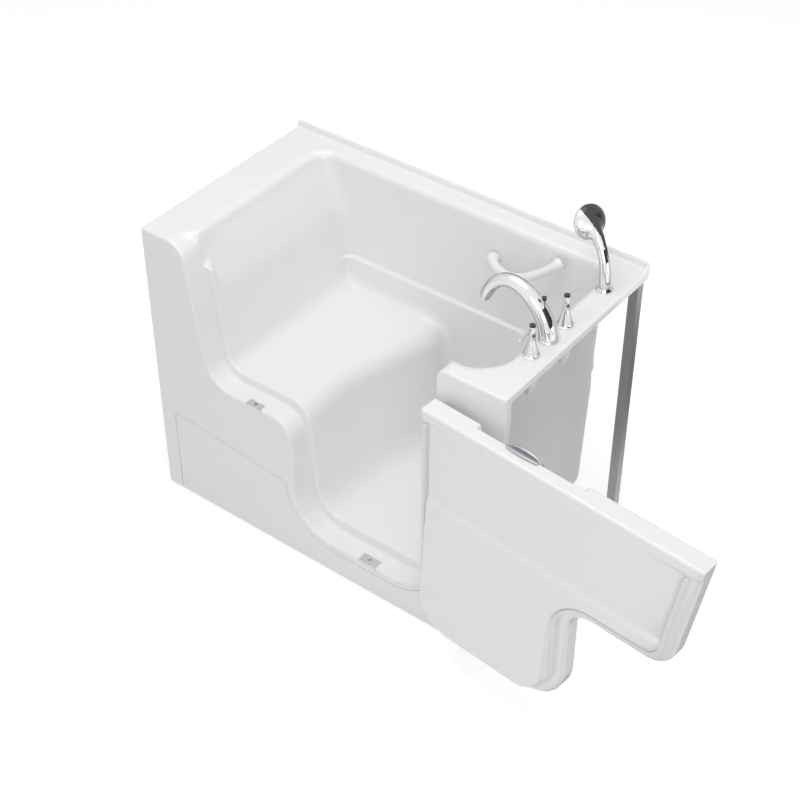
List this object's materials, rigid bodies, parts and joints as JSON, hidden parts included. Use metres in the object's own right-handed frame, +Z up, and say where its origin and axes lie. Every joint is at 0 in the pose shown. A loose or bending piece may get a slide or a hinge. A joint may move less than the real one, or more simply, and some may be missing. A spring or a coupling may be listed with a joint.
{
  "type": "walk-in bathtub",
  "caption": "Walk-in bathtub with a moulded seat and footwell, an outward-opening side door with latch bolts, deck taps, a hand shower and a steel frame.",
  "frame": {"origin": "underside of the centre foot, on the floor under the middle of the tub's footprint", "axes": "+Z up, +X along the wall from the backrest end to the tap end, +Y from the door side to the wall"},
  "size_m": [2.0594, 0.932, 1.2736],
  "materials": {
    "acrylic": "glossy white moulded acrylic",
    "frame_steel": "brushed square tube",
    "hardware_steel": "satin stainless",
    "chrome": "polished",
    "foot_rubber": "matt",
    "seal_rubber": "matt grey",
    "pipe_plastic": "matt",
    "face_plastic": "satin grey",
    "brass": "plain"
  },
  "bodies": {
    "tub": {"tub_shell": "acrylic", "front_shell": "acrylic", "access_panel": "acrylic", "panel_clips": "frame_steel", "base_rail_front": "frame_steel", "base_rail_back": "frame_steel", "cross_rail_left": "frame_steel", "cross_rail_centre": "frame_steel", "cross_rail_right": "frame_steel", "post_front_left": "frame_steel", "hinge_post": "frame_steel", "post_back_left": "frame_steel", "post_back_right": "frame_steel", "seat_frame": "frame_steel", "footwell_frame": "frame_steel", "leveling_feet": "foot_rubber", "foot_nuts": "hardware_steel", "centre_foot": "foot_rubber", "drain_flange": "chrome", "waste_pipe": "pipe_plastic", "overflow_plate": "chrome", "overflow_pipe": "pipe_plastic", "grab_bar": "acrylic", "spout": "chrome", "spout_outlet": "chrome", "tap_bases": "chrome", "valve_bodies": "brass", "mixer_pipe": "brass", "shower_ring": "chrome", "shower_socket": "pipe_plastic", "upper_catch": "hardware_steel", "lower_catch": "hardware_steel", "hinge_leaf_tub": "hardware_steel", "hinge_pin": "hardware_steel", "hinge_screws_tub": "hardware_steel"},
    "door": {"hinge_leaf_door": "hardware_steel", "hinge_screws_door": "hardware_steel", "door_outer_skin": "acrylic", "door_latch_pan": "acrylic", "door_skin_hinge": "acrylic", "door_skin_nose": "acrylic", "door_skin_wing": "acrylic", "door_inner_skin": "acrylic", "door_seal": "seal_rubber", "door_frame": "frame_steel", "handle_plate": "chrome", "bolt_guides": "pipe_plastic"},
    "latch": {"door_handle": "chrome", "latch_cam": "hardware_steel"},
    "upper_bolt": {"upper_bolt": "hardware_steel"},
    "lower_bolt": {"lower_bolt": "hardware_steel"},
    "left_lever": {"left_lever": "chrome"},
    "right_lever": {"right_lever": "chrome"},
    "diverter": {"diverter_knob": "chrome"},
    "hand_shower": {"hand_shower": "chrome", "shower_face": "face_plastic"},
    "overflow_knob": {"overflow_knob": "chrome"},
    "drain_stopper": {"drain_stopper": "chrome"}
  },
  "joints": [
    {"name": "door_swing", "type": "hinge", "parent": "tub", "child": "door", "pos_m": [0.449, -0.39, 0.592], "axis": [0, 0, 1], "range_deg": [-175, 0]},
    {"name": "handle_turn", "type": "hinge", "parent": "door", "child": "latch", "pos_m": [0.78743, -0.44571, 0.938], "axis": [0.0872, 0.9962, 0], "range_deg": [0, 80]},
    {"name": "upper_bolt_slide", "type": "slide", "parent": "door", "child": "upper_bolt", "axis": [0, 0, -1], "range_m": [0, 0.0122]},
    {"name": "lower_bolt_slide", "type": "slide", "parent": "door", "child": "lower_bolt", "axis": [0, 0, -1], "range_m": [0, 0.0122]},
    {"name": "left_lever_turn", "type": "hinge", "parent": "tub", "child": "left_lever", "pos_m": [0.615, -0.173, 1.1], "axis": [0, 0, 1], "range_deg": [0, 90]},
    {"name": "right_lever_turn", "type": "hinge", "parent": "tub", "child": "right_lever", "pos_m": [0.615, -0.001, 1.1], "axis": [0, 0, 1], "range_deg": [-90, 0]},
    {"name": "diverter_lift", "type": "slide", "parent": "tub", "child": "diverter", "axis": [0, 0, 1], "range_m": [0, 0.012]},
    {"name": "shower_lift", "type": "slide", "parent": "tub", "child": "hand_shower", "axis": [0, 0, 1], "range_m": [0, 0.15]},
    {"name": "overflow_turn", "type": "hinge", "parent": "tub", "child": "overflow_knob", "pos_m": [0.469, -0.298, 0.905], "axis": [0, 1, 0], "range_deg": [0, 90]},
    {"name": "stopper_lift", "type": "slide", "parent": "tub", "child": "drain_stopper", "axis": [0, 0, 1], "range_m": [0, 0.008]}
  ],
  "couplings": [
    {"joint": "upper_bolt_slide", "follows": "handle_turn", "m_per_rad": 0.008738},
    {"joint": "lower_bolt_slide", "follows": "handle_turn", "m_per_rad": 0.008738},
    {"joint": "stopper_lift", "follows": "overflow_turn", "m_per_rad": 0.005093}
  ]
}
